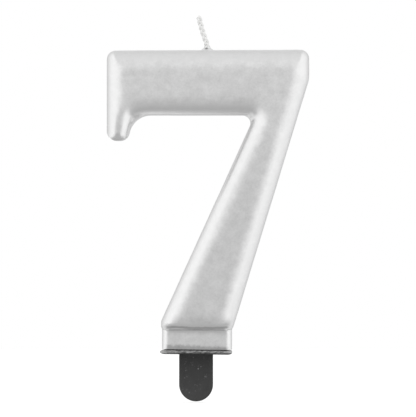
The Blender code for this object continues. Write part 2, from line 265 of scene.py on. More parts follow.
def sheet(corners, ring_depths, grid_step, rows=()):
    """A flat mesh of an outline, with rings of points along its edge and an even grid inside.

    rows are extra points that a crease needs. Returns the points and the triangles.
    """
    rim, normals = outline(corners)
    rings = []
    for depth in ring_depths:
        ring = rim + normals * depth
        ring = ring[distance_to_loop(ring, rim) > depth * 0.97]
        steps = np.hypot(*(ring - np.roll(ring, 1, axis=0)).T)
        rings.append(ring[steps > CLOSEST])
    inner = list(rings)
    inner.append(even_grid(rim, grid_step, ring_depths[-1] + grid_step / 2))
    if len(rows):
        placed = np.concatenate(rings)
        gaps = np.hypot(rows[:, None, 0] - placed[:, 0], rows[:, None, 1] - placed[:, 1])
        rows = rows[gaps.min(axis=1) > grid_step / 4]
        low, high = rows.min(axis=0), rows.max(axis=0)
        grid = inner[-1]
        margin = grid_step / 3
        near = np.all((grid > low - margin) & (grid < high + margin), axis=1)
        inner[-1] = grid[~near]
        inner.append(rows)
    points = np.concatenate([rim] + inner)
    count = len(rim)
    edges = [(index, (index + 1) % count) for index in range(count)]
    inside_only = 1
    flat = delaunay_2d_cdt([Vector(p) for p in points], edges, [], inside_only, 1e-6)
    return np.array([tuple(point) for point in flat[0]]), flat[2]


def solid_of_sheet(points, triangles, heights, strips, place):
    """A closed mesh whose two faces stand at plus and minus the heights over the flat sheet.

    place turns a point of the sheet and a height into a position in the frame.
    """
    bm = bmesh.new()
    verts = [bm.verts.new((x, z, height)) for (x, z), height in zip(points, heights)]
    for triangle in triangles:
        bm.faces.new([verts[index] for index in triangle])
    for vert in [vert for vert in bm.verts if not vert.link_faces]:
        bm.verts.remove(vert)
    rim = [edge for edge in bm.edges if edge.is_boundary]
    for strip in range(strips):
        walls = bmesh.ops.extrude_edge_only(bm, edges=rim)["geom"]
        rim = [item for item in walls if isinstance(item, bmesh.types.BMEdge)]
        for item in walls:
            if isinstance(item, bmesh.types.BMVert):
                item.co.z *= (strips - strip - 1) / (strips - strip)
    half = bm.verts[:] + bm.edges[:] + bm.faces[:]
    copied = bmesh.ops.duplicate(bm, geom=half)["geom"]
    for item in copied:
        if isinstance(item, bmesh.types.BMVert):
            item.co.z *= -1
    bmesh.ops.remove_doubles(bm, verts=[v for v in bm.verts if abs(v.co.z) < 1e-7], dist=1e-5)
    for vert in bm.verts:
        vert.co = place(*vert.co)
    bmesh.ops.recalc_face_normals(bm, faces=bm.faces[:])
    bm.normal_update()
    return bm


def quarter_round(distance, width, depth, top):
    """Height over an edge with an elliptical round of this width and depth, rising to top."""
    run = np.clip(1 - distance / width, 0, 1)
    return top - depth + depth * np.sqrt(1 - run**2)


def soft_max(a, b, reach):
    """The larger of two values, with a fillet where they are within reach of each other."""
    near = np.clip(reach - np.abs(a - b), 0, None)
    return np.maximum(a, b) + near**2 / (4 * reach)


# ---------------------------------------------------------------- pieces


def new_piece(name, bm, material):
    """Turns a mesh in millimetres into an object in metres."""
    bmesh.ops.scale(bm, verts=bm.verts, vec=(MM, MM, MM))
    mesh = bpy.data.meshes.new(name)
    bm.to_mesh(mesh)
    bm.free()
    mesh.shade_smooth()
    mesh.materials.append(material)
    piece = bpy.data.objects.new(name, mesh)
    bpy.context.scene.collection.objects.link(piece)
    return piece


def add_boolean(piece, other, operation):
    modifier = piece.modifiers.new(operation.lower(), "BOOLEAN")
    modifier.operation = operation
    modifier.solver = "MANIFOLD"
    modifier.object = other


def apply_modifiers(piece, spent):
    """Makes the modified mesh the piece's own, and removes the objects that shaped it."""
    graph = bpy.context.evaluated_depsgraph_get()
    mesh = bpy.data.meshes.new_from_object(piece.evaluated_get(graph))
    piece.modifiers.clear()
    piece.data = mesh
    for other in spent:
        bpy.data.objects.remove(other)


def smooth_by_angle(piece, degrees=35):
    piece.data.shade_smooth()
    piece.data.set_sharp_from_angle(angle=math.radians(degrees))


def turned(profile, centre):
    """A turned solid. The profile's points are radius and height, from the axis to the axis."""
    bm = bmesh.new()
    rings = []
    for radius, height in profile:
        if radius < 1e-9:
            rings.append([bm.verts.new((centre.x, centre.y, height))])
            continue
        ring = []
        for side in range(TURNED_SIDES):
            angle = math.tau * side / TURNED_SIDES
            x = centre.x + radius * math.cos(angle)
            y = centre.y + radius * math.sin(angle)
            ring.append(bm.verts.new((x, y, height)))
        rings.append(ring)
    for lower, upper in zip(rings, rings[1:]):
        for side in range(TURNED_SIDES):
            beside = (side + 1) % TURNED_SIDES
            if len(lower) == 1:
                bm.faces.new((lower[0], upper[beside], upper[side]))
            elif len(upper) == 1:
                bm.faces.new((lower[side], lower[beside], upper[0]))
            else:
                bm.faces.new((lower[side], lower[beside], upper[beside], upper[side]))
    bmesh.ops.recalc_face_normals(bm, faces=bm.faces[:])
    return bm


# ---------------------------------------------------------------- the digit's shape


def digit_corners(hook_fillet=HOOK_FILLET, neck_radius=NECK_RADIUS, longer=0.0):
    """Corners of the digit and its foot in one outline, anticlockwise from the foot's left.

    longer is added to the hook's length.
    """
    bar_z = TOP - BAR_HEIGHT
    hook_z = bar_z - HOOK_DROP - longer
    hook_x = LEFT + HOOK_WIDTH - HOOK_FLARE * longer / HOOK_DROP
    shoulder_z = TOP - SHOULDER_DROP
    step_z = STEM_BOTTOM + STEP_RISE
    step_right = RIGHT - (shoulder_z - step_z) * STEM_RIGHT_SLOPE
    kink_z = STEM_BOTTOM + STEM_LEFT_STRAIGHT
    neck_x = STEM_LEFT + (bar_z - kink_z) * STEM_LEFT_SLOPE
    return [
        (FOOT_LEFT, FOOT_BOTTOM_LEFT, 0.2),
        (FOOT_RIGHT, FOOT_BOTTOM_RIGHT, 0.2),
        (FOOT_RIGHT, STEM_BOTTOM, STEP_RADIUS),
        (step_right, step_z, STEP_RADIUS),
        (RIGHT, shoulder_z, SHOULDER_RADIUS),
        (RIGHT, TOP - TOP_SAG_RIGHT, TOP_RADIUS),
        (LEFT, TOP - TOP_SAG_LEFT, TOP_RADIUS),
        (LEFT, hook_z, HOOK_OUTER_RADIUS),
        (hook_x, hook_z, HOOK_INNER_RADIUS),
        (LEFT + HOOK_WIDTH + HOOK_FLARE, bar_z, hook_fillet),
        (neck_x, bar_z, neck_radius),
        (STEM_LEFT, kink_z, 1.0),
        (STEM_LEFT, step_z, STEP_RADIUS),
        (FOOT_LEFT, STEM_BOTTOM, STEP_RADIUS),
    ]


def side_chain(rim):
    """The part of the outline that carries the digit's side round, from the stem's foot round."""
    above = rim[:, 1] > STEM_BOTTOM
    first = np.flatnonzero(above & ~np.roll(above, 1))[0]
    return np.roll(rim, -first, axis=0)[: above.sum()]


def distance_from_side(points):
    """Distance that the side round is measured by.

    In the two inner corners the rounds meet more sharply than the outline turns, and at the
    hook's lower end they run straight on.
    """
    rim, _ = outline(digit_corners(longer=HOOK_REACH))
    wide = distance_to_chain(points, side_chain(rim))
    tight_rim, _ = outline(digit_corners(TIGHT_RADIUS, TIGHT_RADIUS, HOOK_REACH))
    tight = distance_to_chain(points, side_chain(tight_rim))
    tight = np.where(inside_loop(points, tight_rim), tight, 0)
    return wide + TIGHT_SHARE * (tight - wide)


def side_section(points):
    """Width and depth of the side round, which are smaller in the hook than elsewhere."""
    x, z = points[:, 0], points[:, 1]
    top = HOOK_BOTTOM + HOOK_DROP + HOOK_ROUND_TOP
    low = np.clip((top - z) / (top - HOOK_BOTTOM - HOOK_ROUND_FULL), 0, 1)
    left = np.clip((LEFT + HOOK_ROUND_REACH - x) / HOOK_ROUND_FADE, 0, 1)
    share = low**2 * (3 - 2 * low) * left**2 * (3 - 2 * left)
    width = SIDE_ROUND + (HOOK_ROUND - SIDE_ROUND) * share
    depth = SIDE_DEPTH + (HOOK_DEPTH - SIDE_DEPTH) * share
    return width, depth


def hook_end_round(points):
    """Drop of the surface towards the hook's lower edge."""
    x, z = points[:, 0], points[:, 1]
    drop = HOOK_END_DEPTH * np.clip(1 - (z - HOOK_BOTTOM) / HOOK_END_ROUND, 0, 1) ** END_POWER
    in_hook = (x < LEFT + HOOK_WIDTH + HOOK_FLARE) & (z > HOOK_BOTTOM - 1.0)
    return np.where(in_hook, drop, 0)


def end_round(past_end):
    """Drop of the surface towards the stem's bottom edge, steepest at the edge."""
    return END_DEPTH * np.clip(1 - past_end / END_ROUND, 0, 1) ** END_POWER


def foot_heights(points):
    """Half thickness of the foot, with a hollow under the stem and its lower edge turned in."""
    x, z = points[:, 0], points[:, 1]
    from_side = (FOOT_RIGHT - FOOT_LEFT) / 2 - np.abs(x - (FOOT_LEFT + FOOT_RIGHT) / 2)
    flat = quarter_round(np.maximum(from_side, 0), FOOT_RADIUS, FOOT_RADIUS, FOOT_HALF_DEPTH)
    rise = np.clip(z - (STEM_BOTTOM - FILLET_DROP), 0, FOOT_FILLET * 0.98)
    hollow = FOOT_FILLET - np.sqrt(FOOT_FILLET**2 - rise**2)
    middle = np.clip((from_side - 0.6) / FOOT_RADIUS, 0, 1)
    low = np.clip(1 - (z - COAT_LOW.z) / FOOT_TUCK_HEIGHT, 0, 1)
    trough = np.exp(-(((z - FOOT_RIPPLE_Z) / 0.3) ** 2))
    heights = flat + hollow * middle - FOOT_TUCK * low**2 - FOOT_RIPPLE * trough
    reaches = (from_side > -0.01) & (z < STEM_BOTTOM + FOOT_FILLET)
    return np.where(reaches, heights, 0)


def digit_heights(points):
    """Half thickness of the digit and its foot at each point of the outline's sheet."""
    width, depth = side_section(points)
    side = quarter_round(distance_from_side(points), width, depth, HALF_THICKNESS)
    past_end = points[:, 1] - STEM_BOTTOM
    side_drop = (HALF_THICKNESS - side) ** RIDGE_SOFTNESS
    end_drop = end_round(np.maximum(past_end, 0)) + hook_end_round(points)
    end_drop = end_drop**RIDGE_SOFTNESS
    digit = HALF_THICKNESS - (side_drop + end_drop) ** (1 / RIDGE_SOFTNESS)
    digit = np.where(past_end < -0.01, 0, digit)
    return soft_max(digit, foot_heights(points), 0.2)


def digit_sheet():
    depths = [SIDE_ROUND * (1 - math.cos(angle)) for angle in RING_ANGLES]
    rows = []
    for step in range(7):
        rows.append(STEM_BOTTOM - FILLET_DROP * step / 6)
    for angle in RING_ANGLES:
        rows.append(STEM_BOTTOM + END_ROUND * (1 - math.cos(angle)))
    margin = 0.5
    xs = np.arange(FOOT_LEFT + margin, FOOT_RIGHT - margin, RIM_STEP * 0.6)
    row_points = np.array([(x, z) for z in rows for x in xs])
    return sheet(digit_corners(), depths, GRID_STEP, row_points)


def upright(x, z, height):
    """A sheet that stands upright, with its height along the digit's thickness."""
    return (x, -height, z)


def smooth_heights(points, triangles, heights, share, rounds):
    """Evens out ridges: each height moves its share of the way to its neighbours' mean."""
    corners = np.array([tuple(triangle) for triangle in triangles])
    pairs = np.concatenate([corners[:, (0, 1)], corners[:, (1, 2)], corners[:, (2, 0)]])
    pairs = np.concatenate([pairs, pairs[:, ::-1]])
    reach = np.hypot(*(points[pairs[:, 0]] - points[pairs[:, 1]]).T)
    weights = 1 / np.maximum(reach, 0.05) ** 2
    total = np.bincount(pairs[:, 0], weights, len(points))
    for _ in range(rounds):
        summed = np.bincount(pairs[:, 0], weights * heights[pairs[:, 1]], len(points))
        heights = heights + share * (summed / np.maximum(total, 1e-9) - heights)
    return heights


def build_digit():
    points, triangles = digit_sheet()
    heights = digit_heights(points)
    rim, _ = outline(digit_corners())
    inward = distance_to_loop(points, rim) - SMOOTHING_INSET
    inward = np.clip(inward / SMOOTHING_FADE, 0, 1)
    above_foot = points[:, 1] - STEM_BOTTOM - SMOOTHING_ABOVE
    above_foot = np.clip(above_foot / SMOOTHING_ABOVE_FADE, 0, 1)
    share = SMOOTHING_SHARE * inward * above_foot
    heights = smooth_heights(points, triangles, heights, share, SMOOTHING_ROUNDS)
    bm = solid_of_sheet(points, triangles, heights, WALL_STRIPS, upright)
    undulate(bm)
    return bm


def undulate(bm):
    """Slow waves, as a dipped and hand-polished casting has."""
    bm.normal_update()
    shifts = []
    for vert in bm.verts:
        shifts.append(vert.normal * WAVE_HEIGHT * noise.noise(vert.co / WAVE_LENGTH))
    for vert, shift in zip(bm.verts, shifts):
        vert.co += shift


def shrink(bm, depth):
    """Pulls the surface in by depth, all over."""
    bm.normal_update()
    most = 1.5
    shifts = [vert.normal * depth * min(most, vert.calc_shell_factor()) for vert in bm.verts]
    for vert, shift in zip(bm.verts, shifts):
        vert.co -= shift


# ---------------------------------------------------------------- node helpers


def add_node(tree, kind, inputs=None, **settings):
    """Adds a node. Each input is a value, or an output socket to link from."""
    node = tree.nodes.new(kind)
    for key, value in settings.items():
        setattr(node, key, value)
    for key, value in (inputs or {}).items():
        if isinstance(value, bpy.types.NodeSocket):
            tree.links.new(value, node.inputs[key])
        else:
            node.inputs[key].default_value = value
    return node


def calc(tree, operation, first, second=0.0):
    inputs = {0: first, 1: second}
    node = add_node(tree, "ShaderNodeMath", inputs, operation=operation)
    return node.outputs[0]


def soft_step(tree, value, low, high, start=0.0, finish=1.0):
    """Goes smoothly from start to finish while value goes from low to high."""
    inputs = {0: value, 1: low, 2: high, 3: start, 4: finish}
    node = add_node(tree, "ShaderNodeMapRange", inputs, interpolation_type="SMOOTHSTEP")
    return node.outputs[0]


def sum_of(tree, *terms):
    """Adds up pairs of a value and its weight."""
    total = 0.0
    for value, weight in terms:
        node = add_node(tree, "ShaderNodeMath", {0: value, 1: weight, 2: total})
        node.operation = "MULTIPLY_ADD"
        total = node.outputs[0]
    return total


def noise_of(tree, place, scale, detail=2.0, roughness=0.5):
    inputs = {"Vector": place, "Scale": scale, "Detail": detail, "Roughness": roughness}
    return add_node(tree, "ShaderNodeTexNoise", inputs).outputs[0]


def ramp_of(tree, value, stops):
    """A smooth curve of brightness through stops, each a position and a level."""
    node = add_node(tree, "ShaderNodeValToRGB", {0: value})
    ramp = node.color_ramp
    ramp.interpolation = "EASE"
    while len(ramp.elements) < len(stops):
        ramp.elements.new(0.5)
    for element, (position, level) in zip(ramp.elements, stops):
        element.position = position
        element.color = grey(level)
    return node.outputs[0]


def mix_values(tree, share, first, second):
    inputs = {0: share, 2: first, 3: second}
    return add_node(tree, "ShaderNodeMix", inputs, data_type="FLOAT").outputs[0]


def mix_colours(tree, share, first, second):
    inputs = {0: share, 6: first, 7: second}
    return add_node(tree, "ShaderNodeMix", inputs, data_type="RGBA").outputs[2]


def grey(value):
    return (value, value, value, 1.0)


def new_material(name):
    """An empty material with its Principled shader, its object coordinates and their parts."""
    material = bpy.data.materials.new(name)
    material.use_nodes = True
    tree = material.node_tree
    shader = tree.nodes["Principled BSDF"]
    place = tree.nodes.new("ShaderNodeTexCoord").outputs["Object"]
    parts = add_node(tree, "ShaderNodeSeparateXYZ", {0: place}).outputs
    return material, tree, shader, place, parts


def link(tree, source, node, name):
    tree.links.new(source, node.inputs[name])


# ---------------------------------------------------------------- materials


LACQUER_TONE = 0.775
STEM_SHADE = 0.925  # painted shade: the flat front is a little darker below the bar, standing in for a darker reflection
STEM_SHADE_LOW = 55.0
STEM_SHADE_HIGH = 78.0
BACK_SHADE = 0.88  # the back is painted a little darker, from BACK_START to BACK_FULL
BACK_START = -3.0
BACK_FULL = 5.0
GROOVE_Z = 18.72  # painted shade in the crease where the stem meets the foot, at its middle
GROOVE_SAG = 0.04  # rise of the line for each unit of length, from its middle outwards
GROOVE_SHADE = 0.66
GROOVE_CORE = 0.14  # half width of its dark core, and of the whole line
GROOVE_EDGE = 0.5
GROOVE_WANDER = 1.1  # the line strays up and down by a share of this height
HOOK_SHADE = 0.88  # painted shade: the hook's flat front is darker, fully at HOOK_SHADE_LOW above its lower edge
HOOK_SHADE_LOW = 3.0
HOOK_SHADE_HIGH = 9.0
WICK_PIT_SHADOW = Vector((-0.4, -0.9, 90.2))  # painted shadow where the lacquer has shrunk back from the wick; the pit itself has no shape


def silver_lacquer():
    """Aluminium-flake satin lacquer: fine grain, soft orange peel, thin at the foot, and painted
    shade.
    """
    material, tree, shader, place, (x, y, z) = new_material("silver_lacquer")
    flakes = add_node(tree, "ShaderNodeTexVoronoi", {"Vector": place, "Scale": 4200.0})
    flake = add_node(tree, "ShaderNodeSeparateColor", {0: flakes.outputs["Color"]}).outputs[0]
    cloud = noise_of(tree, place, 160.0, 3.0)
    mottle = noise_of(tree, place, 560.0, 1.5)
    speckle = noise_of(tree, place, 1700.0, 1.0)
    grain = noise_of(tree, place, 2200.0, 2.0)
    normal = tree.nodes.new("ShaderNodeNewGeometry").outputs["Normal"]
    front = add_node(tree, "ShaderNodeSeparateXYZ", {0: normal}).outputs[1]
    flat = soft_step(tree, calc(tree, "ABSOLUTE", front), 0.93, 0.99)
    half_of_weights = 0.195  # keeps the mean at zero
    varied = sum_of(
        tree,
        (flake, 0.03),
        (cloud, 0.05),
        (mottle, 0.20),
        (speckle, 0.11),
        (1.0, -half_of_weights),
    )
    varied = calc(tree, "MULTIPLY", varied, mix_values(tree, flat, 0.35, 1.0))
    tone = sum_of(tree, (varied, 1.0), (1.0, LACQUER_TONE))

    # painted shade: the stem's flat front is darker below the bar
    drop = soft_step(tree, z, STEM_SHADE_LOW * MM, STEM_SHADE_HIGH * MM, STEM_SHADE, 1.0)
    tone = calc(tree, "MULTIPLY", tone, mix_values(tree, flat, 1.0, drop))
    # the back is painted a little darker than the front
    back = soft_step(tree, y, BACK_START * MM, BACK_FULL * MM, 1.0, BACK_SHADE)
    tone = calc(tree, "MULTIPLY", tone, back)

    # thinner, patchy lacquer and painted shade darken the foot towards its lower edge, above the
    # plate
    patches = noise_of(tree, place, 1300.0, 2.0)
    edge = sum_of(tree, (z, 1.0), (x, 0.05), (patches, 1.2 * MM), (1.0, -0.5 * MM))
    thin = soft_step(tree, edge, (COAT_LOW.z + 1.15) * MM, (COAT_LOW.z + 0.25) * MM)
    outward = calc(tree, "ABSOLUTE", calc(tree, "SUBTRACT", x, (FOOT_LEFT + FOOT_RIGHT) / 2 * MM))
    half = (FOOT_RIGHT - FOOT_LEFT) / 2 * MM
    inner = soft_step(tree, outward, half - 0.7 * MM, half - 1.5 * MM)
    thin = calc(tree, "MULTIPLY", thin, inner)
    tone = calc(tree, "MULTIPLY", tone, mix_values(tree, thin, 1.0, 0.66))

    # painted shade on the hook's flat front, strongest near its lower end
    full_z = (HOOK_BOTTOM + HOOK_SHADE_LOW) * MM
    none_z = (HOOK_BOTTOM + HOOK_SHADE_HIGH) * MM
    low = soft_step(tree, z, full_z, none_z, HOOK_SHADE, 1.0)
    at_hook = calc(tree, "LESS_THAN", x, (LEFT + HOOK_WIDTH + HOOK_FLARE) * MM)
    above_stem = calc(tree, "GREATER_THAN", z, (HOOK_BOTTOM - 1.0) * MM)
    low = mix_values(tree, calc(tree, "MULTIPLY", at_hook, above_stem), 1.0, low)
    tone = calc(tree, "MULTIPLY", tone, mix_values(tree, flat, 1.0, low))

    # painted shade along the crease under the stem, wandering a little up and down
    wander = noise_of(tree, place, 260.0, 3.0)
    strayed = sum_of(tree, (wander, GROOVE_WANDER * MM), (z, 1.0), (outward, -GROOVE_SAG))
    groove_z = (GROOVE_Z + GROOVE_WANDER / 2) * MM
    off_groove = calc(tree, "ABSOLUTE", calc(tree, "SUBTRACT", strayed, groove_z))
    groove = soft_step(tree, off_groove, GROOVE_CORE * MM, GROOVE_EDGE * MM, GROOVE_SHADE, 1.0)
    tone = calc(tree, "MULTIPLY", tone, mix_values(tree, inner, 1.0, groove))

    # painted shadow of a small pit at the wick's foot, as a darker tone round one point
    pit_shadow = add_node(tree, "ShaderNodeVectorMath", {0: place, 1: WICK_PIT_SHADOW * MM}, operation="DISTANCE")
    tone = calc(tree, "MULTIPLY", tone, soft_step(tree, pit_shadow.outputs[1], 0.15 * MM, 0.6 * MM, 0.35))
    colour = add_node(tree, "ShaderNodeCombineColor", {0: tone, 1: tone, 2: tone}).outputs[0]
    link(tree, colour, shader, "Base Color")

    shader.inputs["Metallic"].default_value = 0.92
    link(tree, sum_of(tree, (grain, 0.06), (1.0, 0.28)), shader, "Roughness")

    peel = noise_of(tree, place, 600.0, 2.0)
    fine = add_node(
        tree,
        "ShaderNodeBump",
        {"Height": grain, "Strength": 0.06, "Distance": 0.05 * MM},
    )
    coarse = add_node(
        tree,
        "ShaderNodeBump",
        {
            "Height": peel,
            "Strength": 0.12,
            "Distance": 0.12 * MM,
            "Normal": fine.outputs[0],
        },
    )
    link(tree, coarse.outputs[0], shader, "Normal")
    return material


def paraffin():
    """Cast candle wax, slightly cloudy and translucent."""
    material, tree, shader, place, _ = new_material("paraffin")
    cloud = noise_of(tree, place, 180.0, 4.0)
    colour = mix_colours(tree, cloud, (0.80, 0.79, 0.75, 1), (0.90, 0.89, 0.86, 1))
    link(tree, colour, shader, "Base Color")
    shader.inputs["Subsurface Weight"].default_value = 0.35
    shader.inputs["Subsurface Scale"].default_value = 2.0 * MM
    shader.inputs["Subsurface Radius"].default_value = (1.0, 1.0, 1.0)
    shader.inputs["Roughness"].default_value = 0.5
    grain = noise_of(tree, place, 1500.0, 3.0)
    bump = add_node(
        tree,
        "ShaderNodeBump",
        {"Height": grain, "Strength": 0.2, "Distance": 0.1 * MM},
    )
    link(tree, bump.outputs[0], shader, "Normal")
    return material


def black_plastic():
    """Satin moulded plastic, with dust and scratches, silver overspray on the plate, and painted
    shade.
    """
    material, tree, shader, place, (x, y, z) = new_material("black_plastic")
    cloud = noise_of(tree, place, 420.0, 4.0)
    base = sum_of(tree, (cloud, 0.02), (1.0, 0.01))
    # painted shade and light: the tongue is darker up under the plate and lighter towards its tip
    base = calc(tree, "MULTIPLY", base, soft_step(tree, z, 0.0, 11.0 * MM, 1.7, 0.8))

    specks = add_node(tree, "ShaderNodeTexVoronoi", {"Vector": place, "Scale": 900.0})
    speck = soft_step(tree, specks.outputs["Distance"], 0.20, 0.08)
    rare = soft_step(tree, noise_of(tree, place, 350.0), 0.50, 0.62)
    scuffs = noise_of(tree, place, 1500.0, 4.0, 0.7)
    scuff = calc(tree, "MULTIPLY", soft_step(tree, scuffs, 0.56, 0.72), rare)
    speck = calc(tree, "MULTIPLY", speck, rare)
    base = sum_of(tree, (base, 1.0), (speck, 0.16), (scuff, 0.11))

    underside = (PICK_PLATE_BOTTOM + 0.25) * MM
    on_plate = soft_step(tree, z, underside, underside + 0.3 * MM)
    centre = (PICK_LOW.x + PICK_HIGH.x) / 2 * MM
    half = (PICK_HIGH.x - PICK_LOW.x) / 2 * MM
    outward = calc(tree, "ABSOLUTE", calc(tree, "SUBTRACT", x, centre))
    at_end = soft_step(tree, outward, half * 0.8, half * 0.97)
    streaks = add_node(
        tree,
        "ShaderNodeMapping",
        {"Vector": place, "Scale": (0.4, 1.0, 1.2)},
    ).outputs[0]
    spray = noise_of(tree, streaks, 2200.0, 3.0, 0.6)
    # painted shade: less overspray along the middle of the plate's lower edge darkens it like a
    # shadow line
    off_middle = soft_step(tree, outward, half * 0.35, half * 0.6, -0.14, 0.02)
    lower = soft_step(tree, z, underside + 0.1 * MM, underside + 0.55 * MM, off_middle, 0.0)
    reach = sum_of(tree, (spray, 1.0), (at_end, 0.3), (lower, 1.0))
    rim = calc(tree, "GREATER_THAN", calc(tree, "ABSOLUTE", y), (PLATE_DEPTH / 2 - 0.5) * MM)
    rim = calc(tree, "MAXIMUM", rim, at_end)
    spray = calc(tree, "MULTIPLY", soft_step(tree, reach, 0.25, 0.75, 0.0, 0.75), on_plate)
    spray = calc(tree, "MULTIPLY", spray, rim)

    tone = mix_values(tree, spray, base, 0.60)
    colour = add_node(tree, "ShaderNodeCombineColor", {0: tone, 1: tone, 2: tone}).outputs[0]
    link(tree, colour, shader, "Base Color")
    link(tree, calc(tree, "MULTIPLY", spray, 0.85), shader, "Metallic")
    link(tree, sum_of(tree, (cloud, 0.15), (1.0, 0.40)), shader, "Roughness")
    grain = noise_of(tree, place, 2400.0, 3.0)
    bump = add_node(
        tree,
        "ShaderNodeBump",
        {"Height": grain, "Strength": 0.2, "Distance": 0.06 * MM},
    )
    link(tree, bump.outputs[0], shader, "Normal")
    return material


def cotton():
    """Bleached cotton yarn, with fine fibres along each ply."""
    material, tree, shader, _, _ = new_material("cotton")
    around = add_node(tree, "ShaderNodeUVMap", uv_map="yarn").outputs[0]
    stretched = add_node(tree, "ShaderNodeMapping", {"Vector": around, "Scale": (9.0, 1.2, 1.0)})
    fibres = noise_of(tree, stretched.outputs[0], 3.0, 3.0, 0.6)
    colour = mix_colours(tree, fibres, (0.80, 0.80, 0.79, 1), (0.95, 0.95, 0.94, 1))
    link(tree, colour, shader, "Base Color")
    shader.inputs["Roughness"].default_value = 0.85
    shader.inputs["Sheen Weight"].default_value = 0.25
    bump = add_node(
        tree,
        "ShaderNodeBump",
        {"Height": fibres, "Strength": 0.35, "Distance": 0.05 * MM},
    )
    link(tree, bump.outputs[0], shader, "Normal")
    return material


# ---------------------------------------------------------------- coat and casting

PICK_CENTRE = (PICK_LOW.x + PICK_HIGH.x) / 2
PICK_PLATE_BOTTOM = 12.0
PLATE_THICKNESS = 1.2
PLATE_DEPTH = PICK_HIGH.y - PICK_LOW.y
PIN_SPACING = 10.0
PIN_LENGTH = 9.0
PIN_FOOT_RADIUS = 1.4
PIN_TIP_RADIUS = 1.1
PIN_CLEARANCE = 0.25
MENISCUS_HEIGHT = 0.95
MENISCUS_RADIUS = 1.5
MENISCUS_LIP_RADIUS = 0.72
WICK_HOLE_RADIUS = 0.6


def build_meniscus(material):
    """Lacquer drawn up round the wick in a concave flare."""
    steps = 10
    buried = 0.2
    profile = [(0, TOP - buried), (MENISCUS_RADIUS, TOP - buried)]
    for step in range(steps + 1):
        share = step / steps
        radius = MENISCUS_LIP_RADIUS + (MENISCUS_RADIUS - MENISCUS_LIP_RADIUS) * (1 - share) ** 2.4
        profile.append((radius, TOP + MENISCUS_HEIGHT * share))
    profile.append((0, TOP + MENISCUS_HEIGHT))
    bm = turned(profile, Vector((wick_centre(TOP).x, 0, 0)))
    return new_piece("meniscus", bm, material)


def wick_drill(name, radius, bottom, material):
    centre = Vector((wick_centre(TOP).x, 0, 0))
    top = TOP + 2 * MENISCUS_HEIGHT
    bm = turned([(0, bottom), (radius, bottom), (radius, top), (0, top)], centre)
    return new_piece(name, bm, material)


def build_coat(material):
    bm = build_digit()
    walls = [face for face in bm.faces if len(face.verts) == 4]
    bottom = [face for face in walls if face.calc_center_median().z < COAT_LOW.z + 0.2]
    bmesh.ops.delete(bm, geom=bottom, context="FACES")
    coat = new_piece("silver_coat_skin", bm, material)
    solidify = coat.modifiers.new("film", "SOLIDIFY")
    solidify.thickness = COAT_THICKNESS * MM
    solidify.offset = -1
    meniscus = build_meniscus(material)
    drill = wick_drill("drill", WICK_HOLE_RADIUS, TOP - 2.0, material)
    add_boolean(coat, meniscus, "UNION")
    add_boolean(coat, drill, "DIFFERENCE")
    apply_modifiers(coat, [meniscus, drill])
    smooth_by_angle(coat, 50)
    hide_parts("silver_coat")
    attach(coat, "candle")
    return coat


def build_casting(material):
    bm = build_digit()
    shrink(bm, COAT_THICKNESS + 0.02)
    casting = new_piece("wax_casting", bm, material)
    cutters = [wick_drill("channel", WICK_HOLE_RADIUS + 0.1, WICK_BOTTOM - 0.3, material)]
    plate_top = PICK_PLATE_BOTTOM + PLATE_THICKNESS
    for side in (-1, 1):
        centre = Vector((PICK_CENTRE + side * PIN_SPACING / 2, 0, 0))
        top = plate_top + PIN_LENGTH + PIN_CLEARANCE
        foot = PIN_FOOT_RADIUS + PIN_CLEARANCE
        tip = PIN_TIP_RADIUS + PIN_CLEARANCE
        profile = [(0, plate_top), (foot, plate_top), (tip, top), (0, top)]
        cutters.append(new_piece(f"socket_{side}", turned(profile, centre), material))
    for cutter in cutters:
        add_boolean(casting, cutter, "DIFFERENCE")
    apply_modifiers(casting, cutters)
    smooth_by_angle(casting)
    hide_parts("wax_core")
    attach(casting, "candle")
    return casting


# ---------------------------------------------------------------- pick

PLATE_RADIUS = 0.6
PLATE_EDGE = 0.28
TONGUE_WIDTH = 8.7
TONGUE_THICKNESS = 1.8
TONGUE_EDGE = 0.32
PANEL_BORDER = 0.62
PANEL_SLOPE = 0.24  # width of the slope down to the panel
PANEL_STEP = 0.06
PLATE_SLANT = 0.2  # the plate sits this much higher at its left end
END_CHAMFER = 0.75  # length over which the plate's ends thin out, by END_TAPER
END_TAPER = 0.35
SEAT_INSET = 0.6  # the foot stands on a low seat, this far inside its faces


def edge_depths(radius, steps=4):
    return [radius * (1 - math.cos(math.pi / 2 * step / steps)) for step in range(1, steps + 1)]


def build_tongue(material):
    """A tongue with soft edges, a half-round end and a barely sunk panel on each face."""
    half = TONGUE_WIDTH / 2
    left, right = PICK_CENTRE - half, PICK_CENTRE + half
    top = PICK_PLATE_BOTTOM + PLATE_THICKNESS / 2
    round_end = half - 0.01  # just short of half, so that the two corners don't meet
    corners = [
        (left, 0, round_end),
        (right, 0, round_end),
        (right, top, 0.1),
        (left, top, 0.1),
    ]
    depths = edge_depths(TONGUE_EDGE)
    depths += [PANEL_BORDER, PANEL_BORDER + PANEL_SLOPE / 2, PANEL_BORDER + PANEL_SLOPE]
    points, triangles = sheet(corners, depths, 0.5)
    rim, _ = outline(corners)
    inward = distance_to_loop(points, rim)
    heights = quarter_round(inward, TONGUE_EDGE, TONGUE_EDGE, TONGUE_THICKNESS / 2)
    panel = np.clip((inward - PANEL_BORDER) / PANEL_SLOPE, 0, 1)
    heights -= PANEL_STEP * panel**2 * (3 - 2 * panel)
    bm = solid_of_sheet(points, triangles, heights, 2, upright)
    return new_piece("tongue", bm, material)


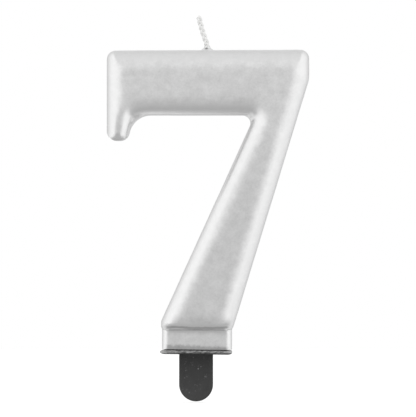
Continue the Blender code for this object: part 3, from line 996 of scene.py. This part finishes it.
def flat_plate(x, y, height):
    """A sheet that lies flat as the plate, a little higher at its left and thin at its ends."""
    half = PLATE_THICKNESS / 2
    share = (x - PICK_LOW.x) / (PICK_HIGH.x - PICK_LOW.x)
    top = half - PLATE_SLANT * share
    bottom = -half + PLATE_SLANT * (1 - share)
    from_end = min(x - PICK_LOW.x, PICK_HIGH.x - x)
    taper = END_TAPER * max(0.0, 1 - from_end / END_CHAMFER)
    if share < 0.5:
        top -= taper
    bottom += taper
    middle = PICK_PLATE_BOTTOM + half
    return (x, y, middle + bottom + (top - bottom) * (height + half) / PLATE_THICKNESS)


def build_plate(material):
    corners = [
        (PICK_LOW.x, PICK_LOW.y, PLATE_RADIUS),
        (PICK_HIGH.x, PICK_LOW.y, PLATE_RADIUS),
        (PICK_HIGH.x, PICK_HIGH.y, PLATE_RADIUS),
        (PICK_LOW.x, PICK_HIGH.y, PLATE_RADIUS),
    ]
    points, triangles = sheet(corners, edge_depths(PLATE_EDGE), 0.7)
    rim, _ = outline(corners)
    inward = distance_to_loop(points, rim)
    heights = quarter_round(inward, PLATE_EDGE, PLATE_EDGE, PLATE_THICKNESS / 2)
    bm = solid_of_sheet(points, triangles, heights, 2, flat_plate)
    return new_piece("pick_moulding", bm, material)


def build_seat(material):
    """The low seat under the foot, which keeps light out of the gap round it."""
    bottom = PICK_PLATE_BOTTOM + PLATE_THICKNESS / 2
    top = COAT_LOW.z - 0.03
    width = FOOT_RIGHT - FOOT_LEFT - 2 * SEAT_INSET
    depth = 2 * (FOOT_HALF_DEPTH - SEAT_INSET)
    bm = bmesh.new()
    bmesh.ops.create_cube(bm, size=1.0)
    bmesh.ops.scale(bm, verts=bm.verts, vec=(width, depth, top - bottom))
    upright_edges = [e for e in bm.edges if abs(e.verts[0].co.z - e.verts[1].co.z) > 0.1]
    bmesh.ops.bevel(bm, geom=upright_edges, offset=1.0, segments=6, profile=0.5, affect="EDGES")
    centre = ((FOOT_LEFT + FOOT_RIGHT) / 2, 0, (top + bottom) / 2)
    bmesh.ops.translate(bm, verts=bm.verts, vec=centre)
    return new_piece("seat", bm, material)


def build_pin(side, material):
    base = PICK_PLATE_BOTTOM + PLATE_THICKNESS / 2
    top = PICK_PLATE_BOTTOM + PLATE_THICKNESS + PIN_LENGTH
    tip_round = 0.5
    profile = [(0, base), (PIN_FOOT_RADIUS, base)]
    for step in range(6):
        angle = math.pi / 2 * step / 5
        radius = PIN_TIP_RADIUS - tip_round + tip_round * math.cos(angle)
        profile.append((radius, top - tip_round + tip_round * math.sin(angle)))
    profile.append((0, top))
    centre = Vector((PICK_CENTRE + side * PIN_SPACING / 2, 0, 0))
    return new_piece(f"pin_{side}", turned(profile, centre), material)


def build_pick(material):
    pick = build_plate(material)
    others = [build_seat(material), build_tongue(material)]
    others += [build_pin(side, material) for side in (-1, 1)]
    for other in others:
        add_boolean(pick, other, "UNION")
    apply_modifiers(pick, others)
    smooth_by_angle(pick)
    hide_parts("pick")
    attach(pick, "pick")
    return pick


# ---------------------------------------------------------------- wick

YARN_RADIUS = 0.295
PLY_COUNT = 3
PLY_DEPTH = 0.10  # how deep the furrows between the plies are, as a share of the radius
PLY_PITCH = 1.7
PLAIT_WIDTH = 0.385
PLAIT_DEPTH = 0.25
PLAIT_PITCH = 4.2
WICK_LEAN = 0.345
WICK_RETURN = 0.095
WICK_BEND_LENGTH = 1.2
YARN_STEP = 0.1
YARN_SIDES = 18
YARN_END = 0.3  # length over which a free end is rounded
YARN_TOP_GAP = 0.1  # the first yarn ends this far below the frame's top
YARN_STAGGER = 0.25  # and each further yarn ends this much lower
WICK_ROOT_X = BEND.x + WICK_LEAN * WICK_BEND_LENGTH / 8


def height_past(z, bend_z):
    """Height above a bend, rising softly from zero over the bend's length."""
    above = z - (bend_z - WICK_BEND_LENGTH / 2)
    if above < 0:
        return 0.0
    if above < WICK_BEND_LENGTH:
        return above * above / (2 * WICK_BEND_LENGTH)
    return z - bend_z


def wick_centre(z):
    lean = WICK_LEAN * height_past(z, BEND.z) - WICK_RETURN * height_past(z, MID_BEND.z)
    return Vector((WICK_ROOT_X - lean, 0, z))


def yarn_point(z, strand):
    """Centre of one of the three plaited yarns at a height."""
    phase = math.tau * (z / PLAIT_PITCH + strand / 3)
    ahead = (wick_centre(z + YARN_STEP) - wick_centre(z - YARN_STEP)).normalized()
    across = Vector((ahead.z, 0, -ahead.x))
    swing = across * PLAIT_WIDTH * math.sin(phase)
    return wick_centre(z) + swing + Vector((0, PLAIT_DEPTH * math.sin(2 * phase), 0))


def yarn_ring(bm, z, strand, swell):
    """One lobed ring of vertices round a yarn."""
    centre = yarn_point(z, strand)
    ahead = yarn_point(z + YARN_STEP / 2, strand) - yarn_point(z - YARN_STEP / 2, strand)
    ahead.normalize()
    right = Vector((0, 1, 0)).cross(ahead).normalized()
    front = ahead.cross(right)
    ring = []
    for side in range(YARN_SIDES):
        angle = math.tau * side / YARN_SIDES
        ply = math.cos(PLY_COUNT * (angle - math.tau * z / PLY_PITCH))
        radius = YARN_RADIUS * swell * (1 + PLY_DEPTH * ply)
        spoke = right * math.cos(angle) + front * math.sin(angle)
        ring.append(bm.verts.new(centre + spoke * radius))
    return ring


def build_yarn(name, strand, bottom, top, material, tip=False):
    bm = bmesh.new()
    uv = bm.loops.layers.uv.new("yarn")
    steps = round((top - bottom) / YARN_STEP)
    levels = [bottom + (top - bottom) * step / steps for step in range(steps + 1)]
    rings = []
    for z in levels:
        swell = 1.0
        if tip and top - z < YARN_END:
            swell = 0.55 + 0.45 * math.sqrt(1 - (1 - (top - z) / YARN_END) ** 2)
        rings.append(yarn_ring(bm, z, strand, swell))
    for index, (lower, upper) in enumerate(zip(rings, rings[1:])):
        for side in range(YARN_SIDES):
            beside = (side + 1) % YARN_SIDES
            face = bm.faces.new((lower[side], lower[beside], upper[beside], upper[side]))
            corners = ((side, 0), (side + 1, 0), (side + 1, 1), (side, 1))
            for loop, (u, v) in zip(face.loops, corners):
                loop[uv].uv = (u / YARN_SIDES, levels[index + v])
    bm.faces.new(list(reversed(rings[0])))
    bm.faces.new(rings[-1])
    bmesh.ops.recalc_face_normals(bm, faces=bm.faces[:])
    yarn = new_piece(name, bm, material)
    smooth_by_angle(yarn, 60)
    return yarn


def build_wick(material):
    """Three plaited yarns, each in a root piece and a tip piece, curving at the two joints'
    heights.
    """
    split = (BEND.z + MID_BEND.z) / 2
    for strand, letter in enumerate("abc"):
        root = build_yarn(f"wick_yarn_{letter}_root", strand, WICK_BOTTOM, split, material)
        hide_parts(f"wick_yarn_{letter}_buried", f"wick_yarn_{letter}_lower")
        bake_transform(root)
        top = WICK_TOP - YARN_TOP_GAP - YARN_STAGGER * strand
        tip = build_yarn(f"wick_yarn_{letter}_tip", strand, split, top, material, tip=True)
        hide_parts(f"wick_yarn_{letter}_upper")
        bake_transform(tip)


# ---------------------------------------------------------------- stage

VIEW_HEIGHT = 106.75  # height of the picture at the object, in millimetres
CAMERA_DISTANCE = 1.6  # metres
SENSOR = 36.0


def build_camera():
    low, high = cad_box
    camera = bpy.data.objects.new("camera", bpy.data.cameras.new("camera"))
    bpy.context.scene.collection.objects.link(camera)
    camera.location = (0, -CAMERA_DISTANCE, (low[2] + high[2]) / 2)
    camera.rotation_euler = (math.pi / 2, 0, 0)
    camera.data.sensor_width = SENSOR
    camera.data.lens = SENSOR * CAMERA_DISTANCE / (VIEW_HEIGHT * MM)
    camera.data.clip_end = 100
    bpy.context.scene.camera = camera


def build_floor():
    bm = bmesh.new()
    bmesh.ops.create_circle(bm, cap_ends=True, segments=96, radius=0.6)
    mesh = bpy.data.meshes.new("floor")
    bm.to_mesh(mesh)
    bm.free()
    floor = bpy.data.objects.new("floor", mesh)
    floor.location.z = -0.3 * MM
    bpy.context.scene.collection.objects.link(floor)
    material = bpy.data.materials.new("floor")
    material.use_nodes = True
    tree = material.node_tree
    shader = tree.nodes["Principled BSDF"]
    shader.inputs["Base Color"].default_value = grey(0.4)
    shader.inputs["Roughness"].default_value = 0.9
    shader.inputs["Specular IOR Level"].default_value = 0.0
    shader.inputs["Emission Color"].default_value = grey(1.0)
    shader.inputs["Emission Strength"].default_value = 0.74
    mesh.materials.append(material)
    floor.visible_glossy = False
    floor.visible_diffuse = False


def build_world():
    """A light tent: bright at both sides, softer above and in front, dark below."""
    world = bpy.data.worlds.new("studio")
    bpy.context.scene.world = world
    world.use_nodes = True
    tree = world.node_tree
    tree.nodes.clear()
    direction = tree.nodes.new("ShaderNodeTexCoord").outputs["Generated"]
    x, y, z = add_node(tree, "ShaderNodeSeparateXYZ", {0: direction}).outputs
    ahead = ramp_of(
        tree,
        sum_of(tree, (z, 0.5), (1.0, 0.5)),
        (
            (0.0, 0.49),
            (0.05, 0.50),
            (0.22, 0.56),
            (0.355, 0.63),
            (0.5, 0.725),
            (0.565, 0.75),
            (0.69, 0.94),
            (0.95, 0.86),
        ),
    )
    near = soft_step(tree, z, -0.6, 0.7, 0.96, 0.80)
    far = soft_step(tree, z, -0.7, 0.5, 0.68, 0.84)
    behind = mix_values(tree, soft_step(tree, y, 0.35, 0.75), near, far)
    level = mix_values(tree, soft_step(tree, y, -0.34, 0.16), ahead, behind)
    side = soft_step(tree, y, -0.4, 0.45, 1.23, 0.92)
    side = calc(tree, "MULTIPLY", side, soft_step(tree, y, 0.4, 0.75, 1.0, 0.80))
    aside = soft_step(tree, calc(tree, "ABSOLUTE", x), 0.19, 0.53)
    aside = calc(tree, "MULTIPLY", aside, soft_step(tree, z, -0.5, -0.3))
    level = mix_values(tree, aside, level, side)
    lighting = add_node(tree, "ShaderNodeBackground", {0: level}).outputs[0]
    backdrop = add_node(tree, "ShaderNodeBackground", {0: grey(1.0)}).outputs[0]
    seen = tree.nodes.new("ShaderNodeLightPath").outputs["Is Camera Ray"]
    shown = add_node(tree, "ShaderNodeMixShader", {0: seen, 1: lighting, 2: backdrop}).outputs[0]
    add_node(tree, "ShaderNodeOutputWorld", {0: shown})


def build_scene():
    build_coat(silver_lacquer())
    build_casting(paraffin())
    build_pick(black_plastic())
    build_wick(cotton())
    build_camera()
    build_floor()
    build_world()
    bpy.context.scene.view_settings.view_transform = "Standard"


build_scene()

bpy.context.view_layer.update()
